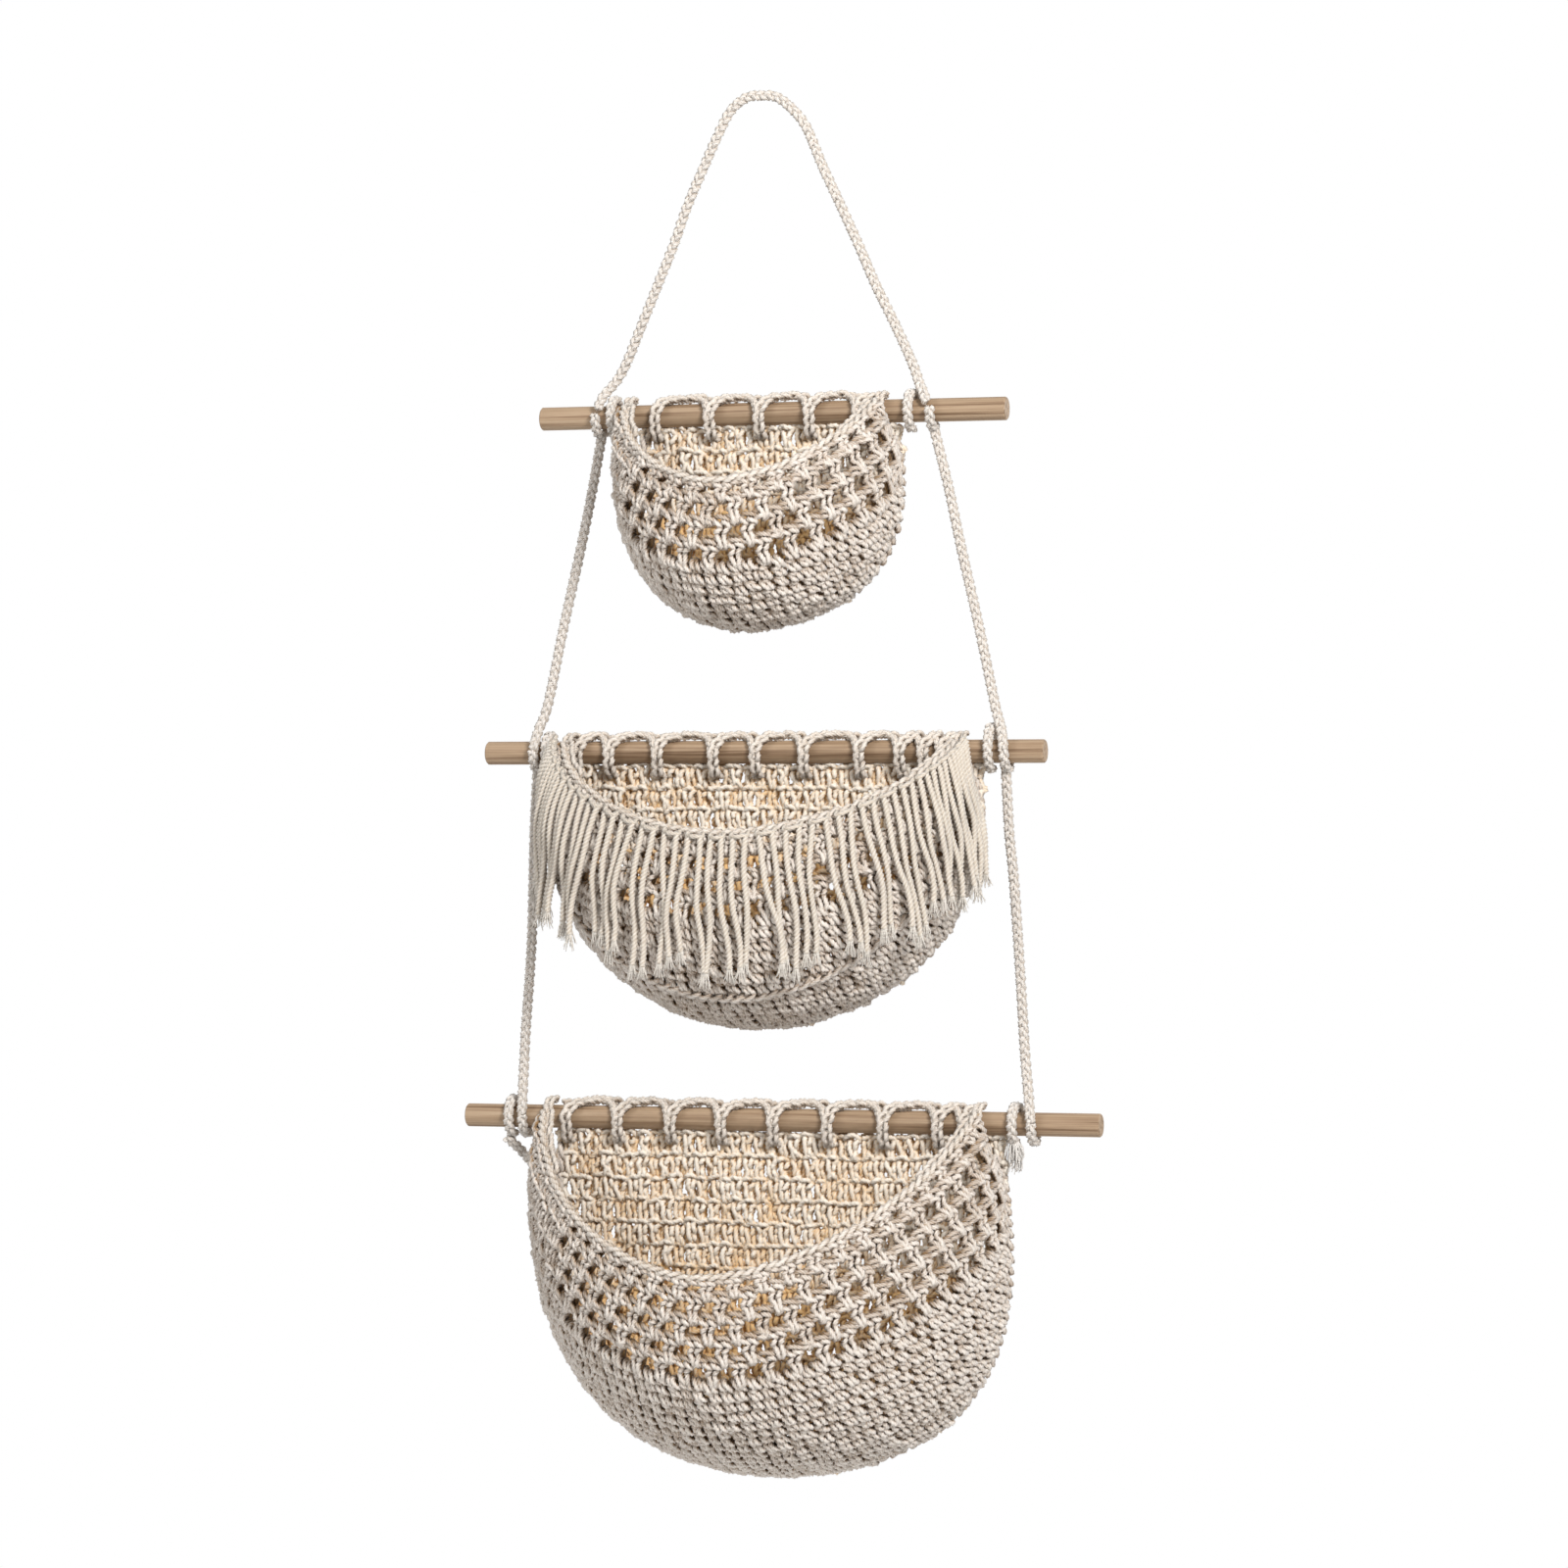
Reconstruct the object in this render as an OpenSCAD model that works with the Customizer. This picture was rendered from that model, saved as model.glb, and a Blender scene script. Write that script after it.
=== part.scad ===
// Three-tier hanging basket: one braided cord, three wooden dowels and three crocheted
// pockets. X runs along the dowels, -Y faces the room, +Z is up. The origin is the middle
// of the cord where it lies over its nail.

/* [Hanging cord] */
// Thickness of the braided cord
cord_d = 5.8; // [5:0.1:6]
// Height from the nail down to the top dowel
top_drop = 164; // [160:1:170]
// Height from the top dowel down to the middle one
middle_drop = 174; // [170:1:180]
// Height from the middle dowel down to the bottom one
bottom_drop = 189; // [185:1:195]

/* [Dowels] */
// Thickness of the dowels
dowel_d = 12; // [11:0.5:12]
// Length of the top dowel
top_dowel_length = 250; // [240:1:260]
// Length of the middle dowel
middle_dowel_length = 300; // [290:1:310]
// Length of the bottom dowel
bottom_dowel_length = 340; // [330:1:350]
// Sanded edge at the ends of a dowel
dowel_edge = 0.6; // [0.3:0.1:1]

/* [Pockets] */
// Thickness of the crochet
wall = 4.4; // [3.5:0.1:4.6]
// Widest part of the top pocket's seam
top_width = 162; // [150:1:163]
// Depth of the top pocket below its dowel
top_depth = 108; // [100:0.5:115]
// How far the top pocket's rim stands out from its dowel
top_reach = 74; // [60:1:80]
// Widest part of the middle pocket's seam
middle_width = 240; // [230:1:241]
// Depth of the middle pocket below its dowel
middle_depth = 140; // [130:0.5:145]
// How far the middle pocket's rim stands out from its dowel
middle_reach = 80; // [70:1:90]
// Widest part of the bottom pocket's seam
bottom_width = 266; // [256:1:268]
// Depth of the bottom pocket below its dowel
bottom_depth = 181; // [172:0.5:190]
// How far the bottom pocket's rim stands out from its dowel
bottom_reach = 112; // [100:1:120]

/* [Yarn work] */
// Thickness of the braided rim
rim_d = 4.6; // [4:0.1:4.6]
// Thickness of the chain that laces a pocket to its dowel
lacing_d = 4.2; // [3.5:0.1:4.4]
// Thickness of one strand of the fringe
strand_d = 3; // [2.5:0.1:3.2]
// Length of the fringe
fringe_length = 70; // [55:1:80]
// Number of strands in the fringe
strands = 58; // [40:2:60]

/* [Hidden] */
cotton = "#e6dccb";
cotton_shade = "#d9ccb6";
pine = "#c9a276";
dowel_r = dowel_d / 2;
slack = 0.4;
panel_t = 3.6;
top_z = -top_drop;
middle_z = top_z - middle_drop;
bottom_z = middle_z - bottom_drop;
// Radius at which a cord's centre runs when it lies round a dowel
wrap_r = dowel_r + slack + cord_d / 2;
// Radius at which the lacing's centre runs round a dowel
lacing_r = dowel_r + slack + 0.2 + lacing_d / 2;
// Outer radius of the crochet where a pocket's ends hug the dowel
hug_r = dowel_r + slack + 0.1 + wall;
// Direction of the rim's ends on the dowel, from straight down towards the room
rim_end_angle = 125;

// A pocket is a list: height of its dowel, centre and half width of the seam at the dowel,
// centre and half width of the seam lower down, depth, powers of the seam's sides and base,
// centre and half width of the rim, reach and drop of the rim, how far the sides bulge and
// the share by which the wall bellies out
top_form = [top_z, 4.5, 69, 0, top_width / 2, top_depth, 1.95, 3,
            -2.8, 69.8, top_reach, 40, 7, 0.18];
middle_form = [middle_z, 3, 113, 2, middle_width / 2, middle_depth, 1.9, 2.5,
               1.7, 107.5, middle_reach, 43, 10, 0.16];
bottom_form = [bottom_z, 8.5, 119, 11, bottom_width / 2, bottom_depth, 2.05, 3.3,
               1.3, 117.3, bottom_reach, 74, 8, 0.08];

// Places of the lacing's posts along each dowel
top_posts = [-55.5, -26, 0.5, 27.5, 53.5];
middle_posts = [-98, -80.5, -54.5, -24, -1.5, 24.5, 54, 75.5, 88, 97.5];
bottom_posts = [-104, -76, -47.5, -20, 8, 37, 66.5, 95.5, 109];

function unit(v) = v / norm(v);
function signed_pow(x, p) = sign(x) * pow(abs(x), p);
function mix(a, b, f) = a + (b - a) * f;

// Directions along a path, and a normal carried along it without twist
function directions(p) =
    [for (i = [0:len(p) - 1]) unit(p[min(i + 1, len(p) - 1)] - p[max(i - 1, 0)])];
function any_normal(t) = unit(cross(t, abs(t.x) < 0.7 ? [1, 0, 0] : [0, 0, 1]));
function carried(t) =
    [for (i = 0, n = any_normal(t[0]); i < len(t);
          i = i + 1, n = i < len(t) ? unit(n - (n * t[i]) * t[i]) : n) n];

// A closed tube swept along a path, its faces all triangles
module tube(path, d, sides) {
    t = directions(path);
    n = carried(t);
    last = len(path) - 1;
    points = [for (i = [0:last]) for (k = [0:sides - 1])
        path[i] + d / 2 * (cos(360 * k / sides) * n[i]
                           + sin(360 * k / sides) * cross(t[i], n[i]))];
    side_faces = [for (i = [0:last - 1]) for (k = [0:sides - 1])
        let (a = i * sides + k, b = i * sides + (k + 1) % sides)
        each [[a, a + sides, b], [b, a + sides, b + sides]]];
    start_cap = [for (k = [1:sides - 2]) [0, k, k + 1]];
    end_cap = [for (k = [1:sides - 2])
        [last * sides, last * sides + k + 1, last * sides + k]];
    polyhedron(concat(points), concat(side_faces, start_cap, end_cap), convexity = 8);
}

// A point beside a dowel: place along it, angle from straight up towards the room, radius
function round_dowel(z, x, angle, r) = [x, -r * sin(angle), z + r * cos(angle)];

// A cord's turns round a dowel: down the front at one place, round the back while moving
// along, and down the front again at the other place, to just past the underside
function wrap_path(z, first_x, second_x, crest = 0) =
    [for (angle = [90:16.25:545])
        let (shift = min(max((angle - 180) / 180, 0), 1),
             lift = crest * pow(max(cos((angle - 360) * 0.9), 0), 4)
                    * (abs(angle - 360) < 100 ? 1 : 0))
        round_dowel(z, mix(first_x, second_x, shift * shift * (3 - 2 * shift)),
                    angle, wrap_r + lift)];

// The chain that laces a panel's edge to its dowel: at each post it goes down behind the
// dowel, through the panel's eyelet, up the front, and along the top to the next post
function post_loop(x, z) =
    concat([for (k = [0:3]) round_dowel(z, x - 4 + k, -35 - 28 * k, lacing_r)],
           [[x, 4.4, z - 10.6], [x, -4.4, z - 10.6]],
           [for (k = [0:3]) round_dowel(z, x + 1 + k, 119 - 28 * k, lacing_r)],
           [round_dowel(z, x + 4.5, 10, lacing_r + 0.4)]);
function lacing_path(form, posts) =
    let (z = form[0], last = len(posts) - 1,
         start = [posts[0] - 6, 2, z + 9],
         finish = [posts[last] + 6.5, 3, z + 9])
    [start,
     for (i = [0:last]) each concat(post_loop(posts[i], z),
         i == last ? [] :
             [[(posts[i] + posts[i + 1]) / 2, 0.5,
               z + (posts[i + 1] - posts[i] > 14 ? 10.6 : 9.5)]]),
     finish];

// Least gap of a winding to itself, measured between points at least three apart
function halved(p) = [for (i = [0:len(p) - 2]) each [p[i], (p[i] + p[i + 1]) / 2]];
function least_gap(path, d) =
    let (p = halved(path))
    min([for (i = [0:len(p) - 1]) for (j = [i + 8:1:len(p) - 1]) norm(p[i] - p[j]) - d]);

// One point of a pocket's wall. Along a row the angle goes from 0 at the left end to 180 at
// the right end, and up the wall s goes from 0 at the seam to 1 at the rim
function wall_point(form, angle, s, inset) =
    let (z = form[0],
         near = sqrt(sin(angle)),
         seam_x = mix(form[1], form[3], near)
                  - mix(form[2], form[4], near) * signed_pow(cos(angle), 2 / form[6]),
         seam_r = hug_r + (form[5] - hug_r) * pow(sin(angle), 2 / form[7]),
         rim_x = form[8] - form[9] * signed_pow(cos(angle), 1.12),
         rim_y = mix(hug_r * sin(rim_end_angle), form[10], pow(sin(angle), 1.2)),
         rim_z = mix(hug_r * cos(rim_end_angle), form[11], pow(sin(angle), 1.3)),
         rim_r = norm([rim_y, rim_z]),
         bow = sin(180 * s),
         middle_x = mix(form[1], form[3], near),
         x = mix(seam_x, rim_x, s) - form[12] * bow * cos(angle) * pow(sin(angle), 1.1),
         r = mix(seam_r, rim_r, s) * (1 + form[13] * bow * sin(angle)) - inset * wall,
         lean = atan2(rim_y, rim_z) * s)
    [middle_x + (x - middle_x) * (1 - inset * wall / form[4]),
     -r * sin(lean), z - r * cos(lean)];

// Row angles that crowd towards the ends, where the wall climbs fastest
function row_angle(u) =
    let (t = 2 * u - 1)
    90 + 90 * sign(t) * (1 - pow(1 - abs(t), 1.4));

// A pocket's wall as a closed shell of columns and rows
module pocket_wall(form, columns, rows) {
    points = [for (inset = [0, 1]) for (i = [0:columns]) for (j = [0:rows])
        wall_point(form, row_angle(i / columns), j / rows, inset)];
    layer = (columns + 1) * (rows + 1);
    function at(i, j) = i * (rows + 1) + j;
    function quad(a, b, c, d) = [[a, b, c], [a, c, d]];
    outer = [for (i = [0:columns - 1]) for (j = [0:rows - 1])
        each quad(at(i, j), at(i, j + 1), at(i + 1, j + 1), at(i + 1, j))];
    inner = [for (face = outer) [for (k = [2:-1:0]) face[k] + layer]];
    seam = [for (i = [0:columns - 1])
        each quad(at(i, 0), at(i + 1, 0), at(i + 1, 0) + layer, at(i, 0) + layer)];
    rim = [for (i = [0:columns - 1])
        each quad(at(i + 1, rows), at(i, rows), at(i, rows) + layer,
                  at(i + 1, rows) + layer)];
    ends = [for (j = [0:rows - 1]) each concat(
        quad(at(0, j + 1), at(0, j), at(0, j) + layer, at(0, j + 1) + layer),
        quad(at(columns, j), at(columns, j + 1), at(columns, j + 1) + layer,
             at(columns, j) + layer))];
    polyhedron(points, concat(outer, inner, seam, rim, ends), convexity = 8);
}

// A flat back panel with the seam's outline and an eyelet at each lacing post
module back_panel(form, posts) {
    seam = [for (i = [0:48])
        let (p = wall_point(form, row_angle(i / 48), 0, 0)) [p.x, p.z]];
    top = form[0] - dowel_r - 0.8;
    outline = concat(seam, [[seam[48].x - 1, top], [seam[0].x + 1, top]]);
    difference() {
        translate([0, panel_t, 0])
            rotate([90, 0, 0])
                linear_extrude(panel_t)
                    polygon(outline);
        for (x = posts)
            translate([x, panel_t + 1, form[0] - 10.6])
                rotate([90, 0, 0])
                    cylinder(d = lacing_d + 1, h = panel_t + 2, $fn = 12);
    }
}

// The braid round a pocket's rim, up onto the dowel at both ends
module rim_braid(form) {
    path = [for (i = [0:24])
        let (angle = row_angle(i / 24))
        (wall_point(form, angle, 1, 0) + wall_point(form, angle, 1, 1)) / 2];
    tube(path, rim_d, 6);
}

// A dowel with sanded ends, lying along X
module dowel(length, middle_x, z) {
    half = length / 2;
    profile = [[0, -half], [dowel_r - dowel_edge, -half], [dowel_r, dowel_edge - half],
               [dowel_r, half - dowel_edge], [dowel_r - dowel_edge, half], [0, half]];
    translate([middle_x, 0, z])
        rotate([0, 90, 0])
            rotate_extrude($fn = 48)
                polygon(profile);
}

// Route points of the cord, in the plane of the dowels unless y is given
arch_route = [
    [-86.5, -8.8, -160], [-84.5, -5, -153], [-79, -1, -145.5], [-73.5, 0, -135.5],
    [-65, 0, -115.5], [-56.5, 0, -95.5], [-48, 0, -75.5], [-40.5, 0, -55.5],
    [-31.5, 0, -35.5], [-22, 0, -15.5], [-16, 0, -6], [-8, 0, -0.5], [0, 0, 0],
    [7.5, 0, -1], [15.5, 0, -7], [23.5, 0, -17], [32.5, 0, -38], [42, 0, -58],
    [51.5, 0, -78.5], [60.5, 0, -99], [70.5, 0, -119], [80, 0, -139.5],
    [84, -1.5, -149.5], [87.5, -5.5, -155.5], [90, -8.9, -160.5]
];
middle_left_route = [
    [-88, 0, -177], [-92.5, 0, -201], [-99, 0, -232], [-108, -1, -272.5],
    [-116, -3, -313], [-120, -6, -326], [-122, -9.6, -337]
];
middle_right_route = [
    [92.5, 0, -177], [99.5, 0, -205], [106, 0, -235], [115.5, -1, -275],
    [124.5, -3, -315], [128.5, -6, -327], [130.5, -9.6, -337]
];
lower_left_route = [
    [-123, 0, -351], [-124.5, 0, -380], [-125.5, 0, -425], [-126.5, -1, -451],
    [-128, -3, -480], [-128.3, -6, -506], [-128, -9.6, -526]
];
lower_right_route = [
    [129.5, 0, -351], [131, 0, -379.5], [133.5, 0, -404], [137, -1, -451],
    [140, -3, -491], [142.5, -6, -511], [144.5, -9.6, -526]
];
tail_route = [
    [-137, 0, -540.5], [-134.5, 5, -544.5], [-130, 9, -551], [-123, 10.5, -561],
    [-114, 10.5, -574], [-108, 10.5, -586]
];

top_left_turns = wrap_path(top_z, -88, -79.5);
top_right_turns = wrap_path(top_z, 91.5, 80);
middle_left_turns = wrap_path(middle_z, -122, -115.2);
middle_right_turns = wrap_path(middle_z, 130.5, 122, 3.5);
bottom_left_turns = wrap_path(bottom_z, -128, -135.5);
bottom_right_turns = wrap_path(bottom_z, 144.5, 134.5);
top_lacing_path = lacing_path(top_form, top_posts);
middle_lacing_path = lacing_path(middle_form, middle_posts);
bottom_lacing_path = lacing_path(bottom_form, bottom_posts);

for (w = [["top_left_wrap", top_left_turns, cord_d],
          ["top_right_wrap", top_right_turns, cord_d],
          ["middle_left_wrap", middle_left_turns, cord_d],
          ["middle_right_wrap", middle_right_turns, cord_d],
          ["bottom_left_wrap", bottom_left_turns, cord_d],
          ["bottom_right_wrap", bottom_right_turns, cord_d],
          ["top_lacing", top_lacing_path, lacing_d],
          ["middle_lacing", middle_lacing_path, lacing_d],
          ["bottom_lacing", bottom_lacing_path, lacing_d]])
    echo(str(w[0], " least gap to itself ", least_gap(w[1], w[2]), " mm"));

module cord(route) { color(cotton) tube(route, cord_d, 8); }
module turns(path) { color(cotton) tube(path, cord_d, 6); }
module lacing(path) { color(cotton) tube(path, lacing_d, 6); }
module stick(length, x, z) { color(pine) dowel(length, x, z); }
module panel(form, posts) { color(cotton_shade) back_panel(form, posts); }
module pocket(form, columns, rows) { color(cotton_shade) pocket_wall(form, columns, rows); }
module braid(form) { color(cotton) rim_braid(form); }

module hanging_cord() { cord(arch_route); }
module top_left_wrap() { turns(top_left_turns); }
module top_right_wrap() { turns(top_right_turns); }
module top_dowel() { stick(top_dowel_length, 5, top_z); }
module top_back_panel() { panel(top_form, top_posts); }
module top_pocket() { pocket(top_form, 20, 8); }
module top_rim_braid() { braid(top_form); }
module top_lacing() { lacing(top_lacing_path); }
module middle_cord_left() { cord(middle_left_route); }
module middle_cord_right() { cord(middle_right_route); }
module middle_left_wrap() { turns(middle_left_turns); }
module middle_right_wrap() { turns(middle_right_turns); }
module middle_dowel() { stick(middle_dowel_length, 0, middle_z); }
module middle_back_panel() { panel(middle_form, middle_posts); }
module middle_pocket() { pocket(middle_form, 24, 8); }
module middle_rim_braid() { braid(middle_form); }
module middle_lacing() { lacing(middle_lacing_path); }
module lower_cord_left() { cord(lower_left_route); }
module lower_cord_right() { cord(lower_right_route); }
module bottom_left_wrap() { turns(bottom_left_turns); }
module bottom_right_wrap() { turns(bottom_right_turns); }
module cord_tail() { cord(tail_route); }
module bottom_dowel() { stick(bottom_dowel_length, 9, bottom_z); }
module bottom_back_panel() { panel(bottom_form, bottom_posts); }
module bottom_pocket() { pocket(bottom_form, 26, 10); }
module bottom_rim_braid() { braid(bottom_form); }
module bottom_lacing() { lacing(bottom_lacing_path); }

// How far up a pocket's wall a height is met, found by halving
function height_at(form, angle, height, low = 0, high = 1, steps = 10) =
    let (s = (low + high) / 2)
    steps == 0 ? s :
    wall_point(form, angle, s, 0).z > height
        ? height_at(form, angle, height, low, s, steps - 1)
        : height_at(form, angle, height, s, high, steps - 1);

// One strand of the fringe, from the rim straight down, clear of the wall beside it
function strand_path(angle) =
    let (rim = wall_point(middle_form, angle, 1, -0.6))
    [for (f = [0, 0.4, 1])
        let (height = rim.z - f * fringe_length,
             s = height_at(middle_form, angle, height),
             p = wall_point(middle_form, angle, s, -0.72 - 0.5 * sin(180 * f)))
        [p.x, min(p.y, rim.y), height]];

// The fringe: strands knotted on the middle rim, which hang in front of the pocket and
// lie on its sides where the rim climbs to the dowel
module fringe() {
    color(cotton)
        for (k = [0:strands - 1])
            tube(strand_path(row_angle(mix(0.05, 0.95, (k + 0.5) / strands))), strand_d, 4);
}

hanging_cord();
top_left_wrap();
top_right_wrap();
top_dowel();
top_back_panel();
top_pocket();
top_rim_braid();
top_lacing();
middle_cord_left();
middle_cord_right();
middle_left_wrap();
middle_right_wrap();
middle_dowel();
middle_back_panel();
middle_pocket();
middle_rim_braid();
middle_lacing();
fringe();
lower_cord_left();
lower_cord_right();
bottom_left_wrap();
bottom_right_wrap();
cord_tail();
bottom_dowel();
bottom_back_panel();
bottom_pocket();
bottom_rim_braid();
bottom_lacing();
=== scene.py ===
# %% [markdown]
# # A three-tier hanging basket of crochet and cord
#
# The object is soft work on three stiff dowels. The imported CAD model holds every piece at
# its real size, so this script only dresses it: each yarn, chain and cord below is built
# along the same lines as its CAD solid and takes that solid's place in the picture.
# Everything is in metres. X runs along the dowels, -Y faces the room and +Z is up.

# %% Load the frame
import math
from collections import namedtuple
import bpy
import numpy as np
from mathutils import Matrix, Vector


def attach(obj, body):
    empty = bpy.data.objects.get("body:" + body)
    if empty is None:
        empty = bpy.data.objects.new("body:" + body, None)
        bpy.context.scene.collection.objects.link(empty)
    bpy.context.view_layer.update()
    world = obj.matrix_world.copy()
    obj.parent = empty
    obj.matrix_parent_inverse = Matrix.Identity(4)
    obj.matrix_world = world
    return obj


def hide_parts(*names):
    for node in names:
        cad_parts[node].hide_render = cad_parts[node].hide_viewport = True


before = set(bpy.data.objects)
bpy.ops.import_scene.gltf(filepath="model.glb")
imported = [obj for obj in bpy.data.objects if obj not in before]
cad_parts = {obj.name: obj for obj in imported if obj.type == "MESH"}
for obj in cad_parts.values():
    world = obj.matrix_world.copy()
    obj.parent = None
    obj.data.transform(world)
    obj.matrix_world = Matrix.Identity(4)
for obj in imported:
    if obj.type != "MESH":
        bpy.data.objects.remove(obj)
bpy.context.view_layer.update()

MM = 0.001

# %% [markdown]
# ## The camera
#
# The photograph was taken from the object's right at the height of its middle, from far
# enough that nothing looks stretched. A long lens far away gives the same picture. The
# place came from matching the dowels' ends and the rims, which stand out from the wall.

# %% Camera
camera_data = bpy.data.cameras.new("photo_camera")
camera = bpy.data.objects.new("photo_camera", camera_data)
bpy.context.scene.collection.objects.link(camera)
bpy.context.scene.camera = camera
camera_data.sensor_width = 36.0
camera_data.lens = 122.9
camera_data.clip_end = 30.0
camera.location = (0.8156, -2.6298, -0.3735)
looks_at = Vector((0.0116, 0.0, -0.3544))
camera.rotation_euler = (looks_at - camera.location).to_track_quat("-Z", "Y").to_euler()
print("camera is", round((looks_at - camera.location).length, 3), "m from the basket")

# %% [markdown]
# ## Yarn
#
# Everything soft here is yarn. A curve with a round bevel would be the shortest way to make
# one, but a round tube reads as plastic. Cotton yarn is a few plies laid round each other, so
# the tube's section here has a ridge for each ply, and turns as it goes along. The corners of
# the mesh follow the plies, so two corners a ply are enough, and the meshes stay light.
#
# A yarn also knows how far it stands out of the cloth, seen from the front and seen from the
# back, because deeper down its colour goes over into a dark painted shade, which stands in for
# the shade between the stitches.

# %% Paths
def smooth_path(points, parts=6):
    """A curve through the points, with parts short steps between each two."""
    p = np.asarray(points, float)
    before, after = 2 * p[0] - p[1], 2 * p[-1] - p[-2]
    q = np.vstack([before, p, after])
    t = (np.arange(parts) / parts)[:, None]
    a, b, c, d = q[:-3, None], q[1:-2, None], q[2:-1, None], q[3:, None]
    curve = 0.5 * (2 * b + (c - a) * t + (2 * a - 5 * b + 4 * c - d) * t**2
                   + (3 * b - a - 3 * c + d) * t**3)
    return np.vstack([curve.reshape(-1, p.shape[1]), p[-1:]])


def lengths_along(path):
    """How far along the path each of its points lies."""
    return np.concatenate([[0], np.cumsum(np.linalg.norm(np.diff(path, axis=0), axis=1))])


def even_path(path, step):
    """The same path with points an even step apart."""
    s = lengths_along(path)
    count = max(int(round(s[-1] / step)), 3)
    at = np.linspace(0, s[-1], count + 1)
    return np.stack([np.interp(at, s, path[:, k]) for k in range(3)], 1)


def unit(v):
    return v / np.maximum(np.linalg.norm(v, axis=-1, keepdims=True), 1e-12)


def directions(path):
    return unit(np.gradient(path, axis=0))


# %% A yarn and its heights
# A yarn: its path, the height on its front that sets its painted shade, the way out of the
# cloth, and the height on its back that sets the painted shade there.
Yarn = namedtuple("Yarn", "path height out back")


def plain_yarn(path, height=MM):
    """A yarn that is as high on every side, so its painted shade is even all round."""
    level = np.full(len(path), height)
    return Yarn(path, level, np.zeros((len(path), 3)), level)


# Only the heights that set the painted shade go up, so the yarn gets less of it, or more for a
# negative amount; the path stays where it is.
def shade_height_raised(yarn, by):
    return yarn._replace(height=yarn.height + by, back=yarn.back + by)


def bundles(yarns, longest=10.0):
    """The yarns in groups of at most so many metres, so that no mesh gets too heavy."""
    groups, length = [], longest
    for yarn in yarns:
        long = lengths_along(yarn.path)[-1]
        if length + long > longest:
            groups.append([])
            length = 0.0
        groups[-1].append(yarn)
        length += long
    return groups


# %% Spinning a yarn round its path
# Painted shade: the grooves between plies count as lower, so they are darker, and the side of a
# yarn that faces into the cloth takes the back's height, for the shade there.
groove_shade = 1.4 * MM                    # the grooves between plies count as this much lower
side_share, facing_share = 0.66, 0.9       # how the front's height goes over into the back's


def spin(yarns, radius, step=0.0009, plies=4, lay=0.0078, depth=0.30, taper=None):
    """Tubes along the yarns as corners, faces, uv and the painted shade's height: plies turn
    once in each lay.
    """
    paths = [even_path(y.path, step) for y in yarns]
    longest = max(len(p) for p in paths)
    tangent = np.zeros((len(paths), longest, 3))
    for i, p in enumerate(paths):
        d = directions(p)
        tangent[i, :len(p)] = d
        tangent[i, len(p):] = d[-1]
    side = unit(np.cross(tangent[:, 0], [0.31, 0.87, 0.38]))
    sides = np.zeros_like(tangent)
    for k in range(longest):
        t = tangent[:, k]
        side = unit(side - np.sum(side * t, 1, keepdims=True) * t)
        sides[:, k] = side
    corners_a_ring = 2 * plies
    turn = 2 * np.pi * np.arange(corners_a_ring) / corners_a_ring
    in_groove = np.arange(corners_a_ring) % 2
    reach = 1.0 - depth * in_groove
    verts, faces, uvs, heights, base = [], [], [], [], 0
    for i, p in enumerate(paths):
        n = len(p)
        s = np.arange(n) * step
        angle = turn[None, :] + (2 * np.pi * s / lay)[:, None]
        a = sides[i, :n]
        b = np.cross(tangent[i, :n], a)
        size = radius * np.ones(n) if taper is None else radius * taper(n)
        cosine, sine = np.cos(angle)[:, :, None], np.sin(angle)[:, :, None]
        offset = (size[:, None] * reach)[:, :, None] * (cosine * a[:, None] + sine * b[:, None])
        verts.append((p[:, None] + offset).reshape(-1, 3))
        whole = lengths_along(yarns[i].path)
        at = np.linspace(0, whole[-1], n)
        out = np.stack([np.interp(at, whole, yarns[i].out[:, k]) for k in range(3)], 1)
        height = np.interp(at, whole, yarns[i].height)[:, None]
        back = np.interp(at, whole, yarns[i].back)[:, None]
        # Painted shade: the tube's side that faces out of the cloth takes the front's height,
        # the other side the back's, and the grooves count lower still.
        facing = np.sum(offset * out[:, None], 2)
        front = np.clip(side_share + facing_share * facing / radius, 0, 1)
        level = back + (height - back) * front
        heights += [(level - groove_shade * in_groove).ravel(), level[[0, -1], 0]]
        k = np.arange(corners_a_ring)
        row = np.arange(n - 1)[:, None] * corners_a_ring + base
        quads = np.stack([row + k, row + (k + 1) % corners_a_ring,
                          row + corners_a_ring + (k + 1) % corners_a_ring,
                          row + corners_a_ring + k], -1).reshape(-1, 4)
        faces.append(quads)
        u = np.repeat(s[:-1] / lay, corners_a_ring)[:, None] + [0, 0, step / lay, step / lay]
        v = (np.tile(k / corners_a_ring, n - 1)[:, None]
             + np.array([0, 1, 1, 0]) / corners_a_ring)
        uvs.append(np.stack([u, v], -1).reshape(-1, 2))
        tip = base + n * corners_a_ring
        verts.append(p[[0, -1]])
        first, last = base + k, base + (n - 1) * corners_a_ring + k
        caps = np.concatenate([
            np.stack([first, np.full_like(k, tip), np.roll(first, -1)], 1),
            np.stack([last, np.roll(last, -1), np.full_like(k, tip + 1)], 1)])
        faces.append(caps)
        uvs.append(np.zeros((len(caps) * 3, 2)))
        base = tip + 2
    return np.vstack(verts), faces, np.vstack(uvs), np.concatenate(heights)


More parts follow.
